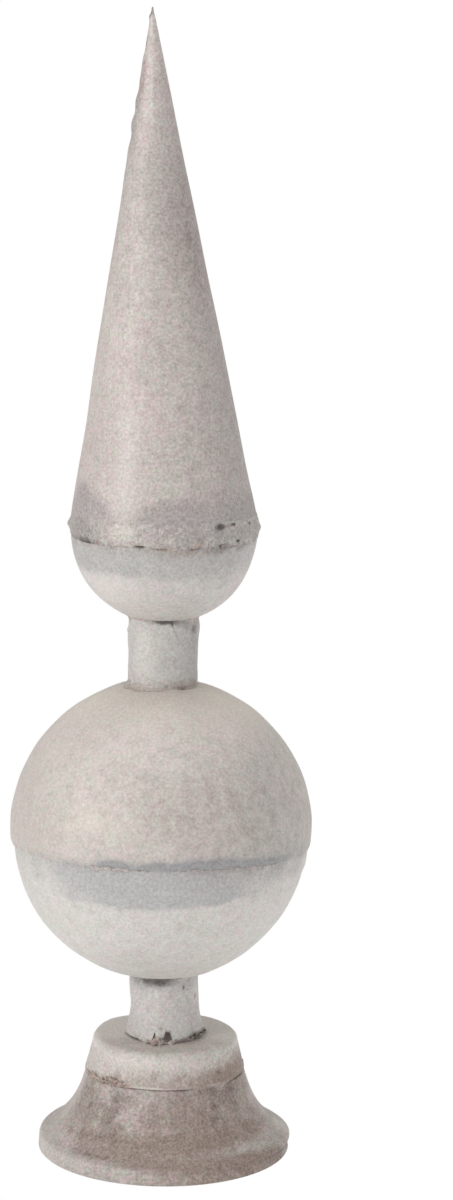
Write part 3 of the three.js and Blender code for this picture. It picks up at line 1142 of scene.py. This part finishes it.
def upper_neck_face(inset):
    height = np.linspace(0, upper_neck_length, upper_neck_rows)[:, None]
    lap = from_lap(angle, height)
    step_out = climb(lap, -0.5 * mm, 0.3 * mm) * sink(lap, 6 * mm, 16 * mm)
    radius = neck_radius - inset + 0.16 * mm * waves(angle, height, neck_radius, 24 * mm, 61)
    radius = radius + lap_step * step_out * band(height, 24 * mm, 50 * mm, 2 * mm)
    radius = radius + 0.8 * mm * spot(angle, height, -88, 38 * mm, 5, 1.6 * mm)
    radius = radius + 0.9 * mm * spot(angle, height, 78, 41 * mm, 20, 6 * mm)
    radius = radius - 0.8 * mm * spot(angle, height, 58, 39 * mm, 6, 3 * mm)
    return turned(radius, height)


def upper_neck_weather(turn, height):
    lap = from_lap(turn, height)
    top = height - (upper_neck_length - neck_entry)
    foot = height - neck_entry
    return {
        "stain": 0.2 + 0.5 * near(turn, 62, 36) + 0.16 * near(turn, 2, 26),
        # The first term is painted shadow under the bowl's overhanging hole edge, at the top of the tube.
        "soot": 0.95 * climb(top, -4.8 * mm, -0.8 * mm) * (0.15 + 0.85 * near(turn, 0, 22))
        + 0.3 * spot(turn, height, 34, upper_neck_length - 5 * mm, 18, 4 * mm)
        + 0.5 * hump(lap, 0.7 * mm) * band(height, 27 * mm, 50 * mm, 4 * mm)
        + 0.52 * spot(turn, height, 60, 40 * mm, 9, 4.2 * mm)
        + 0.5 * near(turn, 40, 26) * sink(foot, 0.6 * mm, 2.6 * mm)
        + 0.5 * spot(turn, height, 5, 4.4 * mm, 4, 1.6 * mm)
        + 0.4 * spot(turn, height, -24, 5 * mm, 4, 1.6 * mm),
        "earth": 0.1 + 0.5 * near(turn, 45, 38) * sink(foot, 2 * mm, 10 * mm),
        # Painted light on the left side of the tube, which faces the light.
        "pale": 0.45 * near(turn, -35, 30) * band(height, 8 * mm, 40 * mm, 6 * mm),
    }


upper_neck = sheet_piece(
    "upper_tube",
    upper_neck_face(0),
    upper_neck_face(sheet)[::3],
    upper_neck_weather,
    neck_zinc,
    upright(0, ball_high_z - neck_entry),
)
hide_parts("upper_neck")

# %% [markdown]
# ## Bowl
# The spire is a half-round bowl under a long cone, tipped forward a little as one. The bowl's
# columns run from its upright hole to its level rim, as the ball's do, and a short upright collar
# above the rim carries the cone.

# %% Bowl
bowl_rows = 60
bowl_collar = 4.0 * mm
bowl_stain_edge = -23.7 * mm
on_spire = leaning(1.5, 0.5, bowl_z)
bowl_hole = hole_ring(0, bowl_low_z, on_spire)
bowl_rays = great_circles(bowl_hole, level_ring(bowl_radius, 0.0), bowl_rows)


def bowl_face(inset):
    turn, height = local_turn(bowl_rays), bowl_radius * bowl_rays[..., 2]
    push = 0.25 * mm * waves(turn, height, bowl_radius, 60 * mm, 71)
    push = push * climb(1 + bowl_rays[..., 2], 0.07, 0.14) * sink(height, -6 * mm, -1 * mm)
    dome = bowl_rays * (bowl_radius + push - inset)[..., None]
    rim = turned(np.full((3, 1), bowl_radius - inset), np.linspace(0, bowl_collar, 4)[1:, None])
    return np.concatenate([dome, rim])


def bowl_weather(turn, height):
    edge = bowl_stain_edge + 0.7 * mm * waves(turn, 0, bowl_radius, 30 * mm, 72)
    soft = 3.8 * mm + 9 * mm * climb(np.abs(turn + 0.5), 0.5, 1.1)
    stained = climb(height, edge - soft, edge + soft)
    # Under the bead: painted shade with brownish dirt, in the soot and earth marks.
    bead_shade_and_dirt = climb(height, -12 * mm, -3 * mm)
    patch = patches(turn, height, bowl_radius, 16 * mm, 73)
    return {
        "stain": stained * (0.75 - 0.35 * near(turn, 82, 24)) + 0.26 * near(turn, 34, 22) * (1 - stained),
        "soot": bead_shade_and_dirt * (0.16 + 0.2 * near(turn, 40, 18) + 0.1 * patch),
        "earth": 0.1 + bead_shade_and_dirt * (0.16 + 0.3 * near(turn, 14, 24) + 0.2 * near(turn, -50, 16)),
        # Painted light on the lower left of the bowl, which faces the light.
        "pale": 0.5 * near(turn, -45, 28) * band(height, -44 * mm, -24 * mm, 5 * mm),
    }


bowl = sheet_piece("bowl_shell", bowl_face(0), bowl_face(sheet)[::3], bowl_weather, bowl_zinc, on_spire)
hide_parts("bowl")

# %% [markdown]
# ## Cone
# The cone was rolled from flat sheet, so it has a lap down its left side, rough with solder near
# the top, and its point is closed with a blob of solder and pulled to the left. It is a straight
# section sheared sideways. Its rows close to a single point at the tip and again at the top of
# the hollow inside, and the points of each such row are merged at the end.

# %% Cone shape
cone_foot = bowl_collar + solder_gap
cone_length = 330.0 * mm
cone_skew = 13.6 * mm
cone_rows = 190
hollow_rows = 64
point_radius = 0.5 * mm
point_pinch = 25 * mm
point_rise = 0.6 * mm
blob_height = cone_length - 5.4 * mm
hollow_top = cone_length - 9.0 * mm
cone_lap = -88.0
merge_distance = 0.002 * mm


def cone_line(up):
    return cone_radius + (point_radius - cone_radius) * np.clip(up / cone_length, 0, 1)


def cone_face(inset, top, rows):
    up = np.linspace(0, top, rows)[:, None]
    push = 0.32 * mm * waves(angle, up, 40 * mm, 80 * mm, 81) * climb(up, 4 * mm, 30 * mm)
    push = push * (0.25 + 0.75 * (1 - up / cone_length))
    rough = patches(0, up, 1, 16 * mm, 82) * climb(up, 190 * mm, 260 * mm) * sink(up, 296 * mm, 318 * mm)
    lap = (0.25 * mm + 0.65 * mm * rough) * climb(up, 3 * mm, 12 * mm) * sink(up, 300 * mm, 322 * mm)
    lap = lap * near(angle, cone_lap, 7 + 12 * climb(up, 150 * mm, 300 * mm))
    blob = 0.95 * mm * near(angle, -92, 50) * hump(up - blob_height, 2.0 * mm)
    pinch = point_pinch * climb(up, blob_height, blob_height + 2 * mm) * (1 - up / cone_length)
    radius = np.maximum(cone_line(up) + push + lap + blob - pinch - inset, 0)
    points = turned(radius, cone_foot + up)
    points[..., 0] = points[..., 0] - cone_skew * up / cone_length
    return points


def closed(face, rise=0.0):
    """A face with one more row, all its points at the middle of the last one."""
    middle = face[-1:].mean(axis=1, keepdims=True) + np.array([0, 0, rise])
    return np.concatenate([face, middle * np.ones((1, sides, 1))])


def merge_points(made):
    """Merges the points of a row that has closed to one."""
    mesh = bmesh.new()
    mesh.from_mesh(made.data)
    bmesh.ops.remove_doubles(mesh, verts=mesh.verts, dist=merge_distance)
    mesh.to_mesh(made.data)
    mesh.free()


print("cone:", round(cone_length / mm), "mm long, its point", round(cone_skew / mm, 1), "mm to the left")

# %% [markdown]
# ## Dirt and painted highlights on the cone
# The right side and the front are darker, less so near the point. Stain rings the foot with an
# uneven edge and darkens the upper part. The blob at the tip and the lap under it hold soot. Two
# pale streaks on the front left are painted highlights, and the stain keeps off the lower one.
# Pits in the bead below stain the cone's foot too, so their places are set down here, where they
# are first needed.

# %% Cone
# For each pit in the bead: its angle, its height in mm, its reach in degrees, its half height
# and its depth in mm.
bead_pits = (
    (36.6, 10.3, 3.4, 1.9, 0.5),
    (47.0, 10.8, 2.2, 1.1, 0.4),
    (63.0, 10.0, 1.6, 0.9, 0.4),
    (50.4, 0.2, 2.2, 1.0, 0.7),
    (39.2, -1.9, 4.0, 1.1, 1.0),
    (-14.0, -1.9, 3.0, 0.6, 0.4),
    (120.0, 2.0, 4.0, 1.6, 1.1),
    (196.0, 4.0, 3.5, 1.8, 1.1),
    (250.0, 0.0, 5.0, 1.4, 1.1),
)


def pit_marks(turn, height, pits):
    return sum(spot(turn, height, at, z * mm, reach, tall * mm) for at, z, reach, tall, _ in pits)


def cone_weather(turn, up):
    patch = patches(turn, up, 50 * mm, 30 * mm, 83)
    edge = (20 + 9 * near(turn, -62, 22) - 12 * near(turn, -28, 14)) * mm
    edge = edge + 1.2 * mm * waves(turn, 0, cone_radius, 25 * mm, 84)
    foot = sink(up, edge - 9 * mm, edge + 7 * mm)
    foot_stain = 0.3 + 0.3 * patch + 0.45 * near(turn, -62, 20) + 0.2 * near(turn, 45, 30)
    foot_stain = foot_stain - 0.3 * near(turn, -28, 13)
    right_darkening = 0.15 + 0.5 * near(turn, 66, 46) + 0.22 * near(turn, -2, 46)
    high_stain = climb(up, 130 * mm, 250 * mm) * (1 - 0.5 * climb(up, 280 * mm, 300 * mm))
    return {
        "stain": foot * foot_stain
        + right_darkening * (1 - 0.8 * climb(up, 190 * mm, 270 * mm))
        + 0.35 * near(turn, -80, 26) * climb(up, 220 * mm, 262 * mm)
        + 0.42 * high_stain * (1 - 0.45 * near(turn, -38, 20))
        + 0.36 * near(turn, 14, 32) * sink(up, 6 * mm, 24 * mm),
        "earth": 0.12
        + 0.2 * near(turn, 50, 40) * band(up, 150 * mm, 228 * mm, 26 * mm)
        + 0.45 * spot(turn, up, -54, 286 * mm, 16, 10 * mm),
        "soot": 0.35 * spot(turn, up, -1, 23.5 * mm, 6, 7 * mm)
        + 0.28 * spot(turn, up, 54, 178 * mm, 18, 40 * mm)
        + 0.55 * climb(up, blob_height - 1 * mm, blob_height + 2 * mm)
        + 0.4 * near(turn, -92, 50) * climb(up, blob_height - 7 * mm, blob_height - 1 * mm)
        + 0.6 * spot(turn, up, -72, 309 * mm, 14, 2.6 * mm)
        + 0.5 * spot(turn, up, -66, 296 * mm, 10, 2 * mm)
        + 1.2 * pit_marks(turn, up + cone_foot, bead_pits[:3])
        + 0.3 * hump(turn - degrees(cone_lap + 9), degrees(5)) * climb(up, 200 * mm, 290 * mm) * patch
        + 0.15 * foot * near(turn, 42, 24) * sink(up, 4 * mm, 12 * mm),
        # Painted highlights: a streak near the point and a streak above the foot, on the front left.
        "pale": 0.4 * near(turn, -10, 9) * band(up, 250 * mm, 318 * mm, 18 * mm)
        + 0.4 * near(turn, -26, 12) * band(up, 4 * mm, 90 * mm, 20 * mm),
    }


def make_cone():
    outer = closed(cone_face(0, cone_length, cone_rows), rise=point_rise)
    inner = closed(cone_face(sheet, hollow_top, hollow_rows))
    points = np.concatenate([outer, inner[::-1]])
    upright_points = points - np.array([0, 0, cone_foot])
    upright_points[..., 0] += cone_skew * upright_points[..., 2] / cone_length
    faces = grid_faces(len(points), sides)
    across_tip = np.arange((len(outer) - 1) * sides, len(outer) * sides)
    faces = np.delete(faces, across_tip, axis=0).tolist()
    marks = marks_at(upright_points, cone_weather)
    made = make_object("cone_shell", on_spire(points), faces, marks, cone_zinc)
    merge_points(made)
    return made


cone = make_cone()
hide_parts("spire_cone")

# %% [markdown]
# ## Solder round the cone's foot
# The tinsmith ran lead solder into every joint. Round the cone's foot it stands proud as a lumpy
# bead, with holes where it never took and rust spots from iron in it. The bead is a short turned
# section that waves push about, coarse and fine, with the pits pressed in one by one.

# %% Cone joint
bead_top = 13.0 * mm
bead_peak = (cone_radius + 0.3 * mm, 3.6 * mm)
bead_head = (cone_line(bead_top - cone_foot) + 0.05 * mm, bead_top)
bead_path = section(
    curve((bowl_radius + 0.1 * mm, -3.8 * mm), (cone_radius + 0.3 * mm, -1.6 * mm), bead_peak),
    curve(bead_peak, (cone_radius + 0.4 * mm, 6.6 * mm), bead_head),
    spacing=0.6 * mm,
)
bead_depth = 1.6 * mm
bead_sunk = 0.2 * mm
# For each rust spot: its angle, its height in mm and its reach in degrees.
rust_spots = ((-44.3, -1.0, 4), (3.5, -3.4, 5), (21.2, -0.2, 4), (150.0, 0.0, 5))


def bead_push(turn, path):
    """How far the bead's face stands out of its true section."""
    height = path[:, 1:2]
    held = climb(height, -3.8 * mm, -2.6 * mm) * sink(height, 11 * mm, bead_top)
    rough = 0.55 + 0.45 * near(turn, 35, 45) - 0.3 * near(turn, -24, 14)
    coarse = 0.36 * mm * waves(turn, height, cone_radius, 13 * mm, 91)
    fine = 0.2 * mm * waves(turn, height, cone_radius, 5 * mm, 92)
    left_lump = spot(turn, height, -88, 4 * mm, 3, 2.2 * mm)
    right_lump = spot(turn, height, 88, 3.4 * mm, 3, 2.2 * mm)
    push = 1.2 * mm * (left_lump + right_lump) + rough * (coarse + fine)
    for at, z, reach, tall, deep in bead_pits:
        push = push - deep * mm * spot(turn, height, at, z * mm, reach, tall * mm)
    return push * held - bead_sunk


def bead_weather(turn, height):
    broken = waves(turn, 0, cone_radius, 15 * mm, 93) + 0.6 * waves(turn, 0, cone_radius, 6 * mm, 94)
    broken = climb(broken, -0.6, 1.4)
    # The crevice at the foot of the bead, where it meets the bowl, is darkened: painted shade with reddish
    # dirt.
    crevice = sink(height, -3.4 * mm, -1.4 * mm)
    crevice = crevice * (1 - 0.7 * climb(np.abs(turn), degrees(52), degrees(70)))
    rusted = sum(spot(turn, height, at, z * mm, reach, 1.6 * mm) for at, z, reach in rust_spots)
    return {
        "soot": 1.2 * pit_marks(turn, height, bead_pits)
        + 0.34 * near(turn, -58, 18)
        + 0.42 * crevice * (0.2 + 0.8 * broken)
        + 0.16 * sink(height, -2 * mm, 2 * mm),
        "earth": 0.4 * crevice * broken + 0.45 * rusted,
        "stain": 0.6 + 0.25 * near(turn, -62, 22) + 0.15 * near(turn, 20, 40) - 0.4 * near(turn, -26, 14),
        # Painted highlights on the bead at the front left and at the front.
        "pale": 0.45 * near(turn, -24, 15) * climb(height, -2 * mm, 3 * mm)
        + 0.5 * spot(turn, height, 1.2, 1.3 * mm, 4, 1.6 * mm),
    }


bead = sheet_piece(
    "cone_bead", *pressed(bead_path, bead_depth, bead_push), bead_weather, lead_solder, on_spire
)
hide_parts("cone_joint_solder")

# %% [markdown]
# ## Fillets at the tubes
# Where a tube meets the ball or the bowl, the solder is a small hollow fillet that comes and
# goes round the joint. A fillet is a curved strip between the tube and the round form, and its
# reach along each of them changes with the angle. Its marks are plain, so they are given as
# numbers, and a small helper turns them into a weather function like those of the sheets.

# %% Fillets at the tubes
fillet_rows = 10
fillet_back = 0.5 * mm


def worn(**marks):
    """A weather function from plain marks: a number, or (all round, more, at, reach)."""

    def weather(turn, height):
        return {
            name: mark if np.isscalar(mark) else mark[0] + mark[1] * near(turn, mark[2], mark[3])
            for name, mark in marks.items()
        }

    return weather


def fillet(name, x, corner_z, centre_z, radius, side, reach, rise, soot):
    """Solder in the corner of a tube and a sphere. side is 1 where the tube stands on top."""
    share = np.linspace(0, 1, fillet_rows)[:, None]
    far = neck_radius + reach
    on_sphere = centre_z + side * np.sqrt(radius**2 - far**2)
    tube_end = (neck_radius - 0.15 * mm + 0 * reach, corner_z + side * rise)
    sphere_end = (far, on_sphere - side * 0.1 * mm)
    corner = (neck_radius + 0.15 * mm, corner_z)
    low, high = (sphere_end, tube_end) if side > 0 else (tube_end, sphere_end)

    def bend(start, middle, end):
        return start * (1 - share) ** 2 + 2 * middle * share * (1 - share) + end * share**2

    outer = turned(bend(low[0], corner[0], high[0]), bend(low[1], corner[1], high[1]))
    end_back = 0.6 * fillet_back
    inner_radius = bend(low[0] - end_back, corner[0] - 2 * fillet_back, high[0] - end_back)
    shift = side * end_back
    inner_height = bend(low[1] - shift, corner[1] - side * fillet_back, high[1] - shift)
    inner = turned(inner_radius, inner_height)[::3]
    weather = worn(soot=soot, earth=0.25, stain=0.4)
    made = sheet_piece(name, outer, inner, weather, lead_solder, upright(x))
    return made


# Each fillet's soot mark darkens it where it thins into a crevice, and all round under the ball: painted
# shade with dirt.
lumps = np.clip(patches(angle, 0, neck_radius, 14 * mm, 95), 0, 1)
off_front = (1 - near(angle, 0, 42)) * (0.5 + 0.5 * lumps)
fillet(
    "solder_under_bowl", 0, bowl_low_z, bowl_z, bowl_radius, -1,
    (0.6 + 3.6 * off_front) * mm, (0.5 + 3.6 * off_front) * mm, soot=(0.05, 0.5, -5, 24),
)
at_left = near(angle, -80, 75) * (0.6 + 0.4 * lumps)
fillet(
    "solder_on_ball", 0, ball_high_z, ball_z, ball_radius, 1,
    (1.2 + 5.0 * at_left) * mm, (1.0 + 4.4 * at_left) * mm, soot=(0.05, 0.45, 35, 26),
)
fillet(
    "solder_under_ball", neck_top_x, ball_low_z, lower_ball_z, lower_ball_radius, -1,
    (0.7 + 0.9 * lumps) * mm, (0.6 + 0.8 * lumps) * mm, soot=(0.4, 0.2, 0, 30),
)

# %% [markdown]
# ## Loose runs of solder
# Where a joint has failed, strips of old solder stay behind: along the cap's edge at the left, on
# the cap in front of the torn foot, and as a ragged thread under the ball's rim. Each is a tube
# laid along part of a circle, flattened, with a thickness that swells and pinches. The rest of
# the cap's edge is closed by the same kind of strip, thin and in the cap's own finish, because
# there the seam is filled and hardly shows.

# %% Runs
run_columns = 160
run_sides = 12


def solder_run(
    name, start, end, radius, height, wide, tall, lump_length, seed, place, weather,
    material=lead_solder,
):
    """A lumpy strip along a circle from start to end degrees; wide and tall are its half sizes."""
    turn = degrees(np.linspace(start, end, run_columns))[None, :]
    round_it = np.linspace(0, 2 * math.pi, run_sides + 1)[:-1][:, None]
    taper = np.clip(np.sin(np.linspace(0, math.pi, run_columns)), 0, 1)[None, :] ** 0.4
    swell = np.clip(0.62 + 0.38 * waves(turn, 0, radius, lump_length, seed), 0.15, 1.5) * taper
    knob = 1 + 0.22 * waves(turn, round_it * 0.01, radius, lump_length * 0.6, seed + 1)
    r = radius + wide * swell * knob * np.cos(round_it)
    z = height + tall * swell * knob * np.sin(round_it)
    points = np.stack([r * np.sin(turn), -r * np.cos(turn), z + 0 * turn], axis=-1)
    flat = np.concatenate([points.reshape(-1, 3), [points[:, 0].mean(0), points[:, -1].mean(0)]])
    ring = np.arange(run_sides) * run_columns
    following = np.roll(ring, -1)
    end_point = np.full_like(ring, run_sides * run_columns)
    last = run_columns - 1
    first_end = np.stack([ring, following, end_point], axis=1)
    last_end = np.stack([following + last, ring + last, end_point + 1], axis=1)
    faces = grid_faces(run_sides, run_columns, around=False)
    faces = faces.tolist() + first_end.tolist() + last_end.tolist()
    made = make_object(name, place(flat), faces, marks_at(flat, weather), material)
    return made


dirty = worn(soot=(0.12, 0.36, -42, 20), earth=0.5, stain=0.3)
on_base = upright(base_x)
solder_run(
    "cap_edge_solder", -84, -24, cap_foot_radius + 0.2 * mm, cap_foot_z + 0.3 * mm,
    1.5 * mm, 1.9 * mm, 7 * mm, 101, on_base, dirty,
)
solder_run(
    "cap_edge_crust", -47, -31, cap_foot_radius - 0.2 * mm, cap_foot_z + 2.4 * mm,
    1.6 * mm, 2.8 * mm, 5 * mm, 103, on_base, dirty,
)

# These two runs are darker at the notch and under the lifted edge of the foot: painted shade with dirt.
ochre = worn(soot=(0.05, 0.25, -3, 5), earth=(0.2, 0.15, -14, 8), stain=0.5)
stump = worn(soot=(0.26, 0.3, 56, 34), earth=0.35, stain=0.6)
on_cap = upright(neck_foot_x, neck_foot_z)
solder_run(
    "foot_solder", -36, 12, neck_foot_radius + 0.8 * mm, 0.6 * mm,
    3.2 * mm, 2.8 * mm, 7 * mm, 105, on_cap, ochre,
)
solder_run(
    "foot_stump", -30, 112, cap_hole_radius + 2.6 * mm, 0.5 * mm,
    2.4 * mm, 2.4 * mm, 9 * mm, 107, on_cap, stump,
)

crusted = worn(soot=(0.04, 0.22, 50, 12), earth=(0.55, 0.2, 50, 30), stain=0.4)
solder_run(
    "cap_seam", 14, 334, cap_foot_radius - 0.45 * mm, cap_foot_z - 0.2 * mm,
    0.8 * mm, 2.4 * mm, 20 * mm, 109, on_base, crusted, material=cap_zinc,
)

leaden = worn(soot=(0.06, 0.16, 22, 22), stain=0.65)
seam_run_radius = math.sqrt(lower_ball_radius**2 - (seam_drop - lower_shift) ** 2) + 0.5 * mm
for number, (start, end) in enumerate(((-38, -4), (4, 52), (96, 160), (190, 250))):
    solder_run(
        f"seam_solder_{number + 1}", start, end, seam_run_radius, seam_height - 0.4 * mm,
        1.1 * mm, 1.5 * mm, 8 * mm, 111 + 2 * number, on_ball, leaden,
    )
